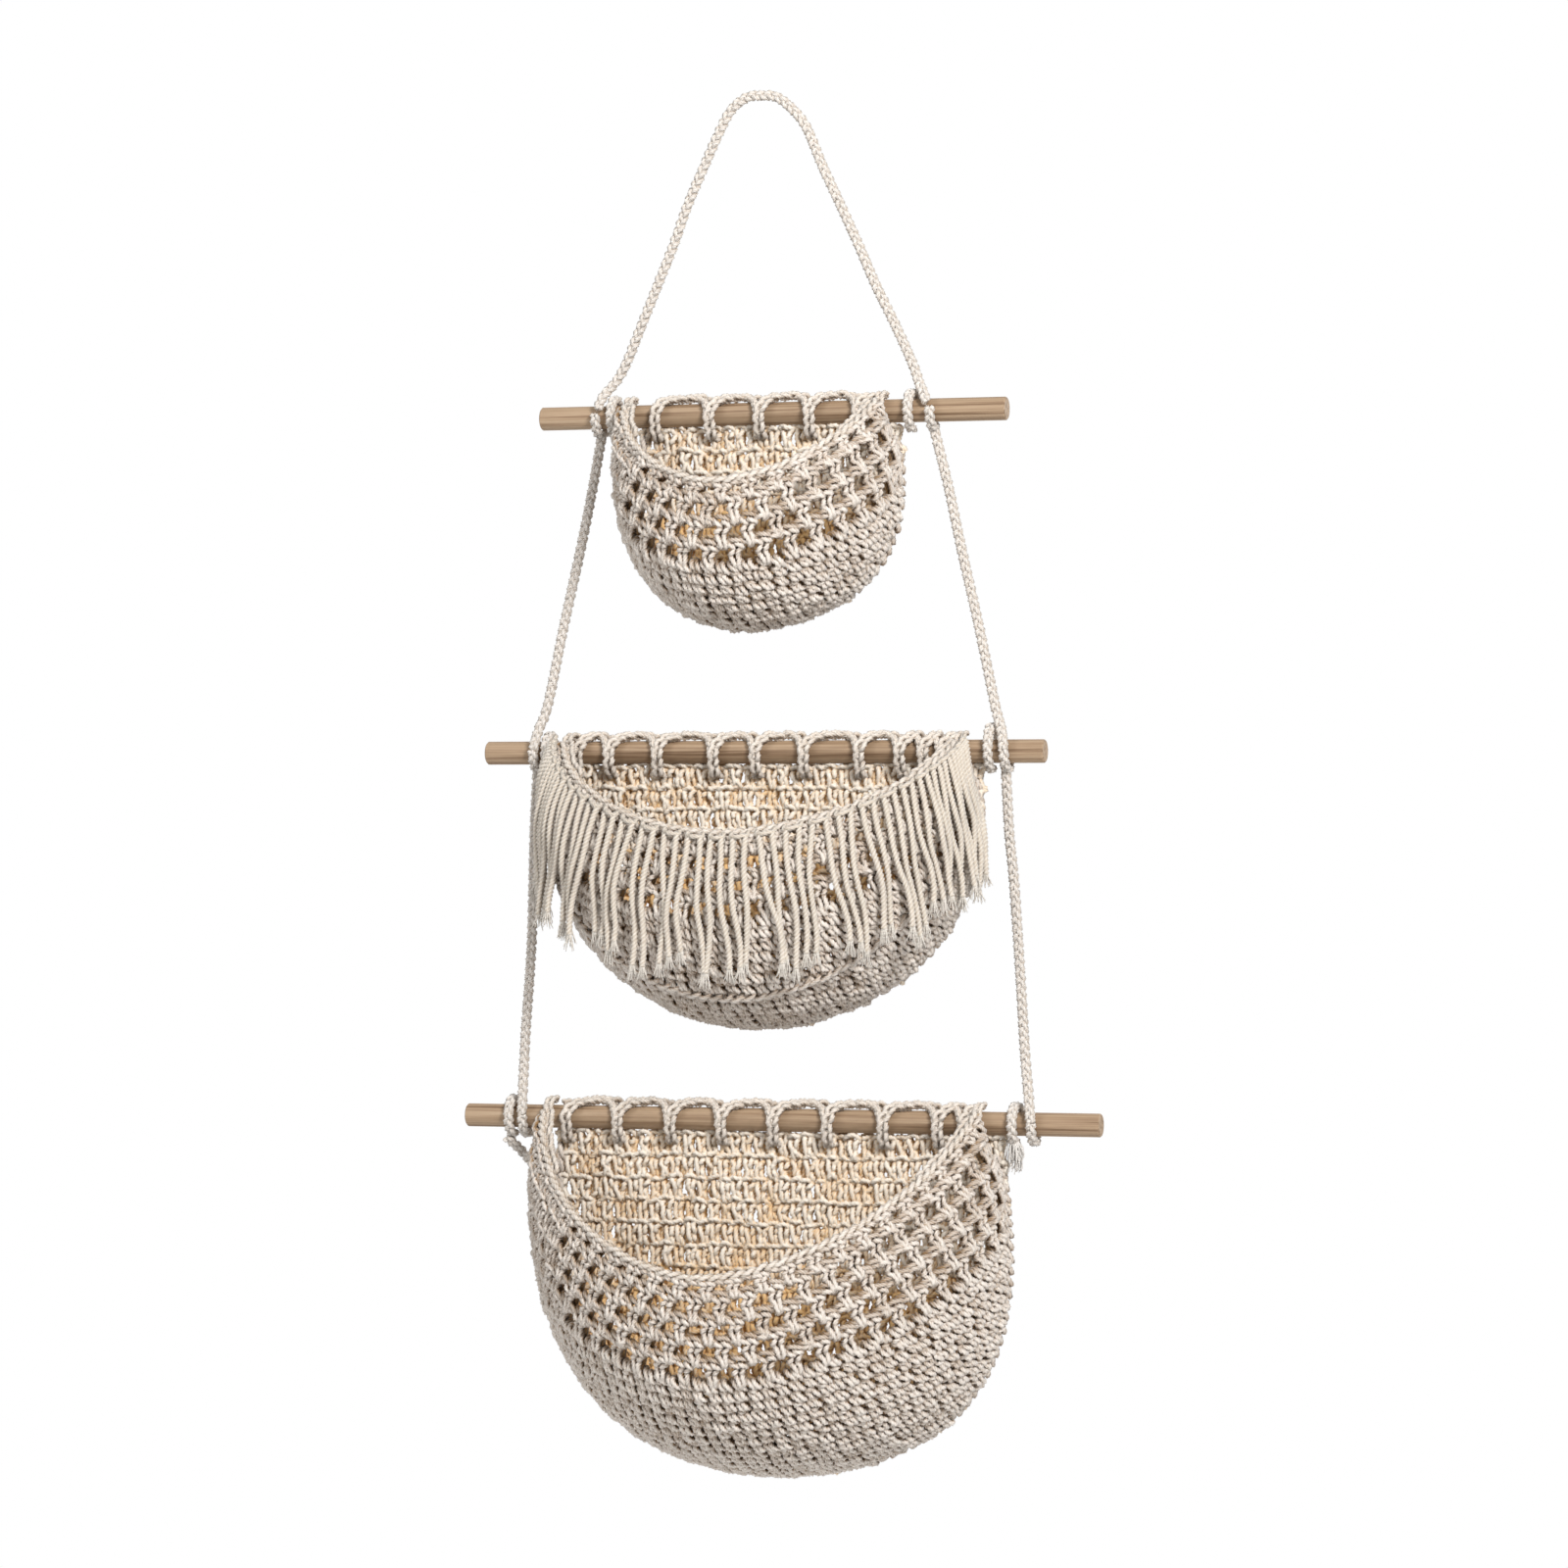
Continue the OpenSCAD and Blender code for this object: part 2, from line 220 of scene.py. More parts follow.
# %% One mesh from the tubes
def yarn_piece(name, spun, body, replaced, finish):
    """One mesh from what spin made, dressed, riding on its body in place of CAD nodes."""
    verts, faces, uv, height = spun
    mesh = bpy.data.meshes.new(name)
    sizes = np.concatenate([np.full(len(f), f.shape[1]) for f in faces])
    loops = np.concatenate([f.ravel() for f in faces])
    mesh.vertices.add(len(verts))
    mesh.vertices.foreach_set("co", verts.astype(np.float32).ravel())
    mesh.loops.add(len(loops))
    mesh.loops.foreach_set("vertex_index", loops.astype(np.int32))
    mesh.polygons.add(len(sizes))
    mesh.polygons.foreach_set("loop_start",
                              np.concatenate([[0], np.cumsum(sizes)[:-1]]).astype(np.int32))
    mesh.polygons.foreach_set("loop_total", sizes.astype(np.int32))
    mesh.update(calc_edges=True)
    layer = mesh.uv_layers.new(name="along_the_yarn")
    layer.data.foreach_set("uv", uv.astype(np.float32).ravel())
    # The heights go onto the mesh for the painted shade that the finish draws from them.
    raised = mesh.attributes.new("painted_shade_height", "FLOAT", "POINT")
    raised.data.foreach_set("value", (height / MM).astype(np.float32))
    mesh.shade_smooth()
    piece = bpy.data.objects.new(name, mesh)
    bpy.context.scene.collection.objects.link(piece)
    mesh.materials.append(finish)
    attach(piece, body)
    if replaced:
        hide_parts(*replaced)
    print(f"{name}: {len(verts)} corners, {int((sizes - 2).sum())} triangles")
    return piece


# %% [markdown]
# ## Finishes
#
# The yarn is undyed cotton: cream, dull, with a soft fuzz that catches the light at the
# edges. Hairs would show the fuzz best, but on this much yarn they cost too much, so a little
# sheen stands in for it. The fibres run along the plies, so the fine bump is a noise that is
# stretched along the yarn. The dowels are sanded pine with fine straight grain, a noise that
# is stretched along the dowel.

# %% Noise and relief that both finishes share
def new_material(name, roughness):
    material = bpy.data.materials.new(name)
    material.use_nodes = True
    nodes = material.node_tree.nodes
    shader = nodes["Principled BSDF"]
    shader.inputs["Roughness"].default_value = roughness
    return material, nodes, material.node_tree.links, shader


def stretched_noise(nodes, links, coordinates, scale, detail, roughness=0.5):
    """Noise that is longer one way than the others, as fibres and grain are."""
    place = nodes.new("ShaderNodeTexCoord")
    stretch = nodes.new("ShaderNodeMapping")
    stretch.inputs["Scale"].default_value = scale
    noise = nodes.new("ShaderNodeTexNoise")
    noise.inputs["Scale"].default_value = 1.0
    noise.inputs["Detail"].default_value = detail
    noise.inputs["Roughness"].default_value = roughness
    links.new(place.outputs[coordinates], stretch.inputs["Vector"])
    links.new(stretch.outputs["Vector"], noise.inputs["Vector"])
    return noise.outputs["Fac"]


def fine_relief(nodes, links, height, strength, distance):
    raise_up = nodes.new("ShaderNodeBump")
    raise_up.inputs["Strength"].default_value = strength
    raise_up.inputs["Distance"].default_value = distance
    links.new(height, raise_up.inputs["Height"])
    links.new(raise_up.outputs["Normal"], nodes["Principled BSDF"].inputs["Normal"])


# %% Cotton
# Between these heights the colour goes over from the full painted shade to the fibres' own.
deepest, proudest = -1.5, 1.4              # mm out of the cloth, where the colours end
def cotton(name, bright, dull, painted_shade):
    """bright and dull are the fibres' two colours; the third is the painted shade deep in the
    cloth.
    """
    material, nodes, links, shader = new_material(name, 0.9)
    shader.inputs["Specular IOR Level"].default_value = 0.3
    shader.inputs["Sheen Weight"].default_value = 0.2
    shader.inputs["Sheen Roughness"].default_value = 0.5
    fibre = stretched_noise(nodes, links, "UV", (2.4, 22.0, 1.0), 3.0)
    fine_relief(nodes, links, fibre, 0.6, 0.0005)
    fibres = nodes.new("ShaderNodeValToRGB")
    fibres.color_ramp.elements[0].position = 0.38
    fibres.color_ramp.elements[0].color = (*dull, 1)
    fibres.color_ramp.elements[1].position = 0.56
    fibres.color_ramp.elements[1].color = (*bright, 1)
    links.new(fibre, fibres.inputs["Fac"])
    # Painted shade: the lower a yarn lies in the cloth, the more of the dark shade colour it
    # takes.
    raised = nodes.new("ShaderNodeAttribute")
    raised.attribute_name = "painted_shade_height"
    reach = nodes.new("ShaderNodeMapRange")
    reach.inputs["From Min"].default_value = deepest
    reach.inputs["From Max"].default_value = proudest
    links.new(raised.outputs["Fac"], reach.inputs["Value"])
    mixed = nodes.new("ShaderNodeMix")
    mixed.data_type = "RGBA"
    mixed.inputs["A"].default_value = (*painted_shade, 1)
    links.new(reach.outputs["Result"], mixed.inputs["Factor"])
    links.new(fibres.outputs["Color"], mixed.inputs["B"])
    links.new(mixed.outputs["Result"], shader.inputs["Base Color"])
    return material


# The third colour of each cotton is its painted shade, darkest in the crochet. The panel's
# colours are lighter and warmer than the crochet's: partly its own cream, partly painted warm
# light that has bounced between the cotton walls, and its shade is a warm ochre for the same
# light.
crochet_cotton = cotton("crochet_cotton", (0.90, 0.83, 0.755), (0.69, 0.60, 0.52),
                        (0.30, 0.175, 0.075))
panel_cotton = cotton("panel_cotton", (0.97, 0.90, 0.80), (0.88, 0.76, 0.62),
                      (0.82, 0.53, 0.24))
chain_cotton = cotton("chain_cotton", (0.90, 0.83, 0.75), (0.70, 0.61, 0.52),
                      (0.36, 0.24, 0.13))
cord_cotton = cotton("braided_cord", (0.94, 0.90, 0.86), (0.82, 0.77, 0.71),
                     (0.54, 0.45, 0.36))
fringe_cotton = cotton("fringe_yarn", (0.94, 0.89, 0.82), (0.78, 0.71, 0.62),
                       (0.44, 0.33, 0.21))
print("five cottons, the darkest hollow in the crochet")


# %% Pine
sanded_pine, nodes, links, shader = new_material("sanded_pine", 0.6)
grain = stretched_noise(nodes, links, "Object", (6.0, 420.0, 420.0), 5.0, 0.65)
fine_relief(nodes, links, grain, 0.25, 0.0003)
ramp = nodes.new("ShaderNodeValToRGB")
for position, colour in ((0.34, (0.15, 0.085, 0.042)), (0.43, (0.30, 0.195, 0.115)),
                         (0.54, (0.41, 0.285, 0.18)), (0.68, (0.50, 0.37, 0.25))):
    shade = ramp.color_ramp.elements.new(position)
    shade.color = (*colour, 1)
ramp.color_ramp.elements.remove(ramp.color_ramp.elements[0])
ramp.color_ramp.elements.remove(ramp.color_ramp.elements[-1])
links.new(grain, ramp.inputs["Fac"])
links.new(ramp.outputs["Color"], shader.inputs["Base Color"])
print("pine has", len(ramp.color_ramp.elements), "shades")

# %% [markdown]
# ## The cord
#
# One length of braided cord carries the whole object. Three strands cross over each other
# in turn. A bump on one round tube could draw the braid, but the light would not fall through
# between the strands, so each strand is a yarn of its own. The route is the same list of
# points as in the CAD source, and it is built first because everything hangs from it.

# %% Sizes and routes that the CAD source has too, in mm
dowel_r = 6.0
cord_d = 5.8
slack = 0.4
top_z, middle_z, bottom_z = -164.0, -338.0, -527.0
wrap_r = dowel_r + slack + cord_d / 2
wall_t = 4.4
hug_r = dowel_r + slack + 0.1 + wall_t     # the outside of a wall that lies on a dowel

arch_route = [
    (-86.5, -8.8, -160), (-84.5, -5, -153), (-79, -1, -145.5), (-73.5, 0, -135.5),
    (-65, 0, -115.5), (-56.5, 0, -95.5), (-48, 0, -75.5), (-40.5, 0, -55.5),
    (-31.5, 0, -35.5), (-22, 0, -15.5), (-16, 0, -6), (-8, 0, -0.5), (0, 0, 0),
    (7.5, 0, -1), (15.5, 0, -7), (23.5, 0, -17), (32.5, 0, -38), (42, 0, -58),
    (51.5, 0, -78.5), (60.5, 0, -99), (70.5, 0, -119), (80, 0, -139.5),
    (84, -1.5, -149.5), (87.5, -5.5, -155.5), (90, -8.9, -160.5)]
middle_left_route = [
    (-88, 0, -177), (-92.5, 0, -201), (-99, 0, -232), (-108, -1, -272.5),
    (-116, -3, -313), (-120, -6, -326), (-122, -9.6, -337)]
middle_right_route = [
    (92.5, 0, -177), (99.5, 0, -205), (106, 0, -235), (115.5, -1, -275),
    (124.5, -3, -315), (128.5, -6, -327), (130.5, -9.6, -337)]
lower_left_route = [
    (-123, 0, -351), (-124.5, 0, -380), (-125.5, 0, -425), (-126.5, -1, -451),
    (-128, -3, -480), (-128.3, -6, -506), (-128, -9.6, -526)]
lower_right_route = [
    (129.5, 0, -351), (131, 0, -379.5), (133.5, 0, -404), (137, -1, -451),
    (140, -3, -491), (142.5, -6, -511), (144.5, -9.6, -526)]
tail_route = [
    (-137, 0, -540.5), (-134.5, 5, -544.5), (-130, 9, -551), (-123, 10.5, -561),
    (-114, 10.5, -574), (-108, 10.5, -586)]


def round_dowel(z, x, angle, r):
    """A point round the dowel at height z: 0 degrees is on top and 90 is towards the room."""
    a = math.radians(angle)
    return (x, -r * math.sin(a), z + r * math.cos(a))


def wrap_route(z, first_x, second_x, crest=0.0):
    """A turn and a quarter that shifts along the dowel. crest lifts its top off the wood."""
    points = []
    for k in range(29):
        angle = 90 + 16.25 * k
        shift = min(max((angle - 180) / 180, 0), 1)
        lift = crest * max(math.cos(math.radians((angle - 360) * 0.9)), 0) ** 4
        lift = lift if abs(angle - 360) < 100 else 0.0
        x = first_x + (second_x - first_x) * shift * shift * (3 - 2 * shift)
        points.append(round_dowel(z, x, angle, wrap_r + lift))
    return points


print("the turns lie", round(wrap_r, 1), "mm from the dowels' middles")


# %% Three strands crossing
def along(path, facing):
    """Functions for a band that follows a path, and the path's length. The first gives the
    place u along it, v across it and w out of it, the second the way out of it at u."""
    path = np.asarray(path, float)
    s = lengths_along(path)
    t = directions(path)
    n = np.broadcast_to(np.asarray(facing, float), path.shape)
    n = unit(n - np.sum(n * t, 1, keepdims=True) * t)
    b = np.cross(n, t)

    def at(u, v, w):
        pick = [np.stack([np.interp(u, s, a[:, k]) for k in range(3)], 1)
                for a in (path, b, n, t)]
        beyond = np.where(u > s[-1], u - s[-1], np.where(u < 0, u, 0))[:, None]
        return pick[0] + v[:, None] * pick[1] + w[:, None] * pick[2] + beyond * pick[3]

    def out(u):
        return np.stack([np.interp(u, s, n[:, k]) for k in range(3)], 1)
    return at, out, s[-1]


def carried_normals(path, start):
    """Normals that follow the path's bends without turning round it."""
    n = np.asarray(start, float)
    out = []
    for d in directions(path):
        n = n - np.dot(n, d) * d
        n = n / np.linalg.norm(n)
        out.append(n)
    return np.array(out)


cord_lay = 13.0 * MM                       # a strand is back where it was after so much cord
sideways, outwards_by = 1.55 * MM, 0.95 * MM      # how far a strand swings
cord_level = 0.5 * MM
strand_r, strand_lay = 1.5 * MM, 0.0065


def braid(path, facing, phase=0.0, beyond=0.0):
    """The three strands of a flat braid along a path, and a little beyond its ends."""
    place, out, length = along(path, facing)
    u = np.arange(-beyond, length + beyond, cord_lay / 16)
    strands = []
    for k in range(3):
        turn = 2 * np.pi * (u / cord_lay + k / 3) + phase
        w = outwards_by * np.sin(2 * turn)
        # Painted shade: a strand counts as lower where it goes under the others, and its back
        # side the other way round, so cord_level sets how light the cord is.
        strands.append(Yarn(place(u, sideways * np.sin(turn), w), w + cord_level, out(u),
                            cord_level - w))
    return strands


# %% The stretches of the cord: name, route, body, far end, lay and mm beyond the route's start
stretches = [
    ("hanging_cord", arch_route, "hanger", "object", "taut", 0),
    ("middle_cord_left", middle_left_route, "middle_tier", "object", "taut", 5),
    ("middle_cord_right", middle_right_route, "middle_tier", "object", "taut", 5),
    ("lower_cord_left", lower_left_route, "bottom_tier", "object", "taut", 5),
    ("lower_cord_right", lower_right_route, "bottom_tier", "object", "taut", 5),
    ("cord_tail", tail_route, "bottom_tier", "bare", "hanging", 4)]
run = {}
for name, route, body, end, lay, beyond in stretches:
    path = smooth_path(np.array(route) * MM, 8)
    if beyond:
        path = np.vstack([path[0] + beyond * MM * unit(path[0] - path[1]), path])
    run[name] = lengths_along(path)[-1]
    strands = braid(path, carried_normals(path, (0, -1, 0)))
    spun = spin(strands, strand_r, plies=3, lay=strand_lay)
    piece = yarn_piece(f"{name}_braid", spun, body, [name], cord_cotton)
    print(name, "is", round(run[name] * 1000), "mm long")

# %% The cord's turns round the dowels, each with the stretch of cord that comes before it
turns = [
    ("top_left_wrap", (top_z, -88, -79.5), "hanger", None),
    ("top_right_wrap", (top_z, 91.5, 80), "hanger", "hanging_cord"),
    ("middle_left_wrap", (middle_z, -122, -115.2), "middle_tier", "middle_cord_left"),
    ("middle_right_wrap", (middle_z, 130.5, 122, 3.5), "middle_tier", "middle_cord_right"),
    ("bottom_left_wrap", (bottom_z, -128, -135.5), "bottom_tier", "lower_cord_left"),
    ("bottom_right_wrap", (bottom_z, 144.5, 134.5), "bottom_tier", "lower_cord_right")]
for name, (z, first_x, second_x, *crest), body, before in turns:
    path = smooth_path(np.array(wrap_route(z, first_x, second_x, *crest)) * MM, 4)
    outwards = unit((path - np.array([0, 0, z]) * MM) * [0, 1, 1])
    phase = 2 * np.pi * run[before] / cord_lay if before else np.pi
    strands = braid(path, outwards, phase, MM)
    yarn_piece(f"{name}_braid", spin(strands, strand_r, plies=3, lay=strand_lay), body,
               [name], cord_cotton)

# %% [markdown]
# The cord's end at the bottom right is cut off short below its last turn, and its strands
# have come apart into a tuft of loose cotton. A few dozen thin yarns that run to a point, each
# with its own bend, are enough for it.

# %% Cut end
rng = np.random.default_rng(5)
loose = []
for k in range(64):
    start = np.array([134.4, -3.0, bottom_z - 8.6]) + rng.normal(0, (1.2, 1.0, 0.8))
    end = start + (rng.uniform(-2.6, 3.4), rng.uniform(-2.4, 1.6), -rng.uniform(7, 14))
    middle = (start + end) / 2 + rng.normal(0, 1.1, 3) + (0.6, 0, 0)
    tip = end + (rng.uniform(-1.4, 0.8), 0, -2)
    loose.append(smooth_path(np.array([start, middle, end, tip]) * MM, 5))
# The loose hairs count 2.2 mm high, so they take little of the painted shade.
yarn_piece("bottom_right_cut_end",
           spin([plain_yarn(p, 2.2 * MM) for p in loose], 0.6 * MM, plies=3, lay=0.006,
                taper=lambda n: np.linspace(1, 0.4, n)),
           "bottom_tier", ["bottom_right_wrap"], cord_cotton)

# %% [markdown]
# ## The dowels
#
# A dowel is a turned stick, and a cylinder would do for it. The CAD solids have the right
# size and sanded edges already, so they stay and only get the wood.

# %% Dowels
for name in ("top_dowel", "middle_dowel", "bottom_dowel"):
    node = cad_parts[name]
    node.data.materials.clear()
    node.data.materials.append(sanded_pine)
    print(name, "is", round(1000 * node.dimensions.x), "mm long")

# %% [markdown]
# ## The shape of a pocket
#
# A pocket's front is one curved wall from the seam, which lies in the back panel's outline,
# out and up to the rim. It could be sculpted, but the yarn has to lie on the very wall that
# the CAD source has, so the formula is the source's own. Its rows of crochet run parallel to
# the rim, each a fixed way below it, and end where they meet the seam, as rows worked from the
# rim down do.

# %% The wall's formula: the seam's middle and half width at its ends and below, how far it
# hangs down and how round it is, the rim's middle, half width, reach and drop, and the bellies
Form = namedtuple("Form", "z c_end half_end c half depth n m rim_c rim_half reach drop "
                          "bulge belly")
forms = {
    "top": Form(top_z, 4.5, 69, 0, 81, 108, 1.95, 3, -2.8, 69.8, 74, 40, 7, 0.18),
    "middle": Form(middle_z, 3, 113, 2, 120, 140, 1.9, 2.5, 1.7, 107.5, 80, 43, 10, 0.16),
    "bottom": Form(bottom_z, 8.5, 119, 11, 133, 181, 2.05, 3.3, 1.3, 117.3, 112, 74, 8, 0.08)}
rim_end = math.radians(125)
half_turn = np.radians(np.linspace(0, 180, 361))


def mix(a, b, f):
    return a + (b - a) * f


def wall_point(form, angle, s):
    """Points of a pocket's outer face in mm: angle along its rows, s from seam to rim."""
    z, c_end, half_end, c, half, depth, n, m, rim_c, rim_half, reach, drop, bulge, belly = form
    sine, cosine = np.clip(np.sin(angle), 0, 1), np.cos(angle)
    near = np.sqrt(sine)
    seam_x = (mix(c_end, c, near)
              - mix(half_end, half, near) * np.sign(cosine) * np.abs(cosine) ** (2 / n))
    seam_r = hug_r + (depth - hug_r) * sine ** (2 / m)
    rim_x = rim_c - rim_half * np.sign(cosine) * np.abs(cosine) ** 1.12
    rim_y = mix(hug_r * math.sin(rim_end), reach, sine ** 1.2)
    rim_z = mix(hug_r * math.cos(rim_end), drop, sine ** 1.3)
    rim_r = np.hypot(rim_y, rim_z)
    bow = np.sin(np.pi * s)
    x = mix(seam_x, rim_x, s) - bulge * bow * cosine * sine ** 1.1
    r = mix(seam_r, rim_r, s) * (1 + belly * bow * sine)
    lean = np.arctan2(rim_y, rim_z) * s
    return np.stack([x + 0 * r, -r * np.sin(lean), z - r * np.cos(lean)], -1)


for tier, form in forms.items():
    print(tier, "pocket is", 2 * form.half, "mm wide and hangs", form.depth, "mm down")


# %% Rows a fixed way below the rim
def wall_rows(form, distances, spare, inset=2.2):
    """For each distance below the rim: the row's path, the wall's normals and its middle."""
    angles = np.radians(np.linspace(1.0, 179.0, 357))
    shares = np.linspace(1, 0, 161)
    grid = wall_point(form, angles[:, None], shares[None, :])
    normal = unit(np.cross(np.gradient(grid, axis=1), np.gradient(grid, axis=0)))
    outwards = np.sum(normal * (grid - [0, 0, form.z]), -1, keepdims=True)
    normal = normal * np.where(outwards < 0, -1, 1)
    rim = grid[::3, 0]
    away = np.sqrt(np.min(np.sum((grid[:, :, None] - rim[None, None]) ** 2, -1), 2))
    middle = len(angles) // 2
    away = np.interp(away, away[middle], lengths_along(grid[middle]))
    rows = []
    for d in distances:
        reached = np.nonzero(away[:, -1] >= d + spare)[0]
        k = np.array([np.interp(d, away[i], np.arange(len(shares))) for i in reached])
        low = np.minimum(k.astype(int), len(shares) - 2)
        part = (k - low)[:, None]
        points = mix(grid[reached, low], grid[reached, low + 1], part)
        normals = unit(mix(normal[reached, low], normal[reached, low + 1], part))
        if len(points) > 8:
            centre = int(np.argmin(np.abs(points[:, 0] - grid[middle, 0, 0])))
            rows.append(((points - inset * normals) * MM, normals, centre))
    return rows


# %% [markdown]
# ## Stitches
#
# A crochet row is one yarn that goes through the same moves again and again. A stitch is
# kept as a short list of places: along the row, up the row, and out of the cloth. Repeating
# it along a row's path and smoothing it gives the whole row as one yarn. Copies of one
# modelled stitch would be simpler, but they would not join, and no two would differ.

# %% Places of one stitch, in mm: along the row, up it and out of the cloth
# A stitch is its width, its height and its places. The close one is two slanting strokes over
# a base, the open one two posts that lean together with a gap beside them.
close_stitch = (6.9, 6.5, [
    (-0.4, 6.7, -0.7), (0.2, 6.2, 1.1), (1.3, 4.8, 2.2), (2.5, 3.3, 2.2), (3.2, 2.3, 0.8),
    (3.0, 1.6, -1.0), (2.4, 3.0, -1.8), (2.2, 5.2, -1.7), (2.5, 6.7, -0.6), (3.1, 6.3, 1.2),
    (4.1, 4.9, 2.3), (5.1, 3.3, 2.2), (5.6, 2.1, 0.8), (5.2, 1.3, -0.9), (4.0, 0.5, -0.5),
    (2.7, 0.8, 1.2), (1.2, 1.2, 1.5), (0.2, 0.7, 0.1), (1.6, 1.6, -1.9), (5.0, 4.8, -1.9)])
open_stitch = (14.0, 11.5, [
    (-0.8, 10.2, 0.2), (0.3, 10.9, 1.6), (2.0, 10.2, 2.3), (3.5, 8.9, 1.4), (3.5, 8.2, -0.5),
    (2.8, 7.7, 0.7), (1.7, 6.7, 2.0), (0.8, 5.7, 1.5), (0.5, 4.9, -0.1), (1.1, 4.4, 1.2),
    (2.0, 2.6, 2.1), (2.6, 0.4, 2.4), (2.7, -1.4, 1.5), (2.5, -2.4, -0.4), (2.3, -0.6, -1.7),
    (2.7, 4.0, -1.9), (3.4, 8.8, -1.3), (4.0, 10.4, 0.2), (4.8, 10.9, 1.7), (6.3, 10.1, 2.3),
    (7.6, 8.9, 1.4), (7.2, 8.2, -0.5), (6.4, 7.7, 0.7), (5.3, 6.7, 2.0), (4.5, 5.7, 1.6),
    (4.2, 4.9, -0.1), (4.5, 4.3, 1.3), (4.7, 2.5, 2.1), (4.5, 0.3, 2.4), (4.2, -1.4, 1.5),
    (4.0, -2.4, -0.4), (4.2, -0.6, -1.7), (5.0, 4.0, -1.9), (6.6, 8.8, -1.2), (8.2, 10.6, 0.4),
    (10.0, 11.3, 1.4), (11.8, 10.9, 1.5), (12.7, 10.2, 0.2), (11.8, 9.9, -0.9),
    (12.6, 10.1, -0.9)])
# The band that is raised between two open rows, and the plain tall stitch with its top loop.
band_link = (7.0, 4.6, [
    (-0.6, 1.3, 0.4), (1.2, 1.7, 1.2), (3.6, 0.9, 1.5), (5.8, -0.4, 1.2), (6.8, -1.5, 0.2),
    (5.6, -1.2, -0.8), (3.2, 0.2, -1.0), (4.8, 1.2, -0.6)])
tall_stitch = (6.4, 11.2, [
    (-0.8, 9.9, 1.2), (1.1, 10.9, 2.0), (3.2, 11.2, 2.2), (5.3, 10.3, 1.3), (5.8, 9.3, -0.2),
    (5.0, 8.8, 0.8), (4.2, 7.2, 1.9), (3.6, 5.4, 1.8), (3.2, 4.4, 0.2), (3.6, 3.2, 1.2),
    (4.3, 1.2, 1.7), (4.5, -0.6, 0.4), (3.8, 0.2, -1.3), (2.4, 4.0, -1.7), (1.2, 8.2, -0.9),
    (0.8, 9.2, 0.4), (0.9, 7.9, 1.7), (1.2, 5.4, 2.0), (1.6, 2.6, 1.8), (2.0, 0.2, 1.2),
    (2.3, -0.9, -0.4), (2.6, 1.8, -1.8), (3.8, 6.8, -1.8), (5.0, 9.6, -1.1)])
# The loose strand behind a panel, a chain's link, and the slant of a slip stitch on an edge.
filling = (12.8, 11.2, [
    (-0.2, 0.4, -1.1), (0.3, 3.4, -0.5), (-0.2, 7.0, -0.6), (0.3, 10.2, -1.2),
    (3.2, 11.0, -1.6), (6.0, 10.2, -1.2), (6.7, 7.0, -0.6), (6.2, 3.4, -0.5),
    (6.6, 0.4, -1.1), (9.6, -0.3, -1.6)])
chain_link = (5.0, 4.6, [
    (0.0, 1.6, 0.9), (2.2, 2.2, 1.2), (4.9, 0.8, 0.6), (5.3, -0.5, -0.2), (3.8, -1.9, 0.8),
    (1.4, -1.5, 1.1), (0.1, -0.2, -0.7), (2.2, 0.3, -1.0), (3.9, 0.5, -0.6)])
rope_link = (5.6, 2.2, [
    (-0.9, -1.1, -0.1), (0.7, -0.8, 1.2), (2.8, 0.0, 1.7), (4.9, 0.8, 1.2), (6.5, 1.1, -0.1),
    (6.0, 0.5, -1.2), (5.0, -0.7, -1.1)])
print("one open stitch goes through", len(open_stitch[2]), "places")


# %% Working a row
def whole_stitches(middle, width, offset, low, high):
    """The first and last stitch that lie between low and high along the row."""
    first = math.ceil((low - middle) / width - offset - 1e-6)
    return first, math.floor((high - middle) / width - offset - 1 + 1e-6)


def work_row(stitch, path, facing, width, height, offset=0.0, centre=0.5, ragged=0.16,
             seed=1, up=0.0, over=0.0, part=None):
    """One yarn that works a stitch along a path, or along a part of it that starts and ends
    at given lengths. centre is the point, or the share of the path, where a stitch starts."""
    place, out, length = along(path, facing)
    s = lengths_along(np.asarray(path))
    middle = s[centre] if isinstance(centre, (int, np.integer)) else centre * length
    if part:
        middle = part[0]
    low, high = part or (-over, length + over)
    first, last = whole_stitches(middle, width, offset, low, high)
    steps = np.arange(first, last + 1)
    wide, tall, moves = stitch
    shape = np.array(moves)
    u = middle + (steps[:, None] + offset + shape[None, :, 0] / wide) * width
    base = 0.5 * height if tall > 5 else 0.0
    v = np.broadcast_to(shape[:, 1] / tall * height - base + up, u.shape)
    w = np.broadcast_to(shape[:, 2] * MM, u.shape)
    hand = np.random.default_rng(seed)
    loose = np.stack([u, v, w], -1) + hand.normal(0, ragged * MM, u.shape + (3,))
    loose += hand.normal(0, 1.2 * ragged * MM, (len(steps), 1, 3))
    moves = smooth_path(loose.reshape(-1, 3), 5)
    # How far the yarn stands out of the cloth, in front and behind, sets its painted shade.
    return Yarn(place(moves[:, 0], moves[:, 1], moves[:, 2]), moves[:, 2], out(moves[:, 0]),
                -moves[:, 2])


# %% [markdown]
# ## The pockets' fronts
#
# Below the rim come the openwork rows, where clusters of two tall stitches leave a square
# hole beside them, set off by half in each row. Plain tall stitches close each of these rows
# where it meets the seam, over a longer part at the left. Under them the cloth is worked
# closely. A sheet with holes cut in it would have the outline too, but its edges would be
# sharp, and light would not fall between the strands.

# %% An openwork row
rim_row, open_row, close_row = 7.6, 11.5, 6.5     # the rows' heights in mm
open_rows = {"top": 4, "middle": 4, "bottom": 5}
cluster_w, tall_w = 14 * MM, 6.4                  # a cluster with its hole, and a tall stitch
plain_left, plain_right = 0.2, 7 * MM             # a share of the row, and a length
past_seam = 2 * MM


